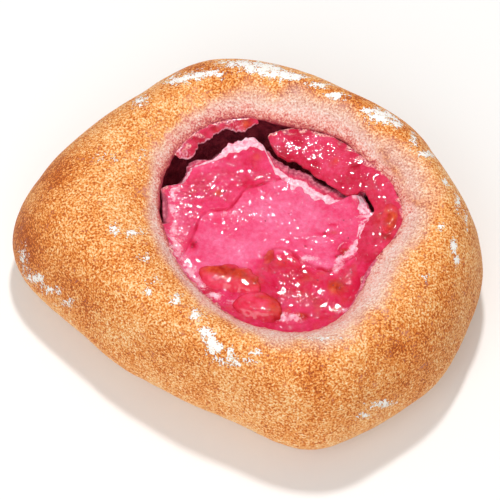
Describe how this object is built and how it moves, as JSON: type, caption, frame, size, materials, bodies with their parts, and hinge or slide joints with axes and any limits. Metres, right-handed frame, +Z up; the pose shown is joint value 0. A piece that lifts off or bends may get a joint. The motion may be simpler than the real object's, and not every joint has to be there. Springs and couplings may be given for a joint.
{
  "type": "raspberry cream bun",
  "caption": "Low round bun of baked yeast dough with a round well in its top, filled with raspberry cream whose skin is torn, and lumps of raspberry jam.",
  "frame": {"origin": "centre of the bun's bounding box, on the plane of its flat base", "axes": "+X along the bun's longest side, +Y towards the torn side of the cream, +Z up out of the well"},
  "size_m": [0.1197, 0.1068, 0.0375],
  "materials": {
    "crust": "baked golden-brown crust, dusted with flour",
    "cream": "wet pink raspberry cream",
    "cream_skin": "glossy skin of raspberry cream and jam",
    "jam": "glossy raspberry jam"
  },
  "bodies": {
    "root": {"bun": "crust", "cream_filling": "cream", "cream_flap": "cream_skin", "rim_skin": "cream_skin", "jam_lump_1": "jam", "jam_lump_2": "jam", "jam_lump_3": "jam", "jam_lump_4": "jam"}
  },
  "joints": []
}
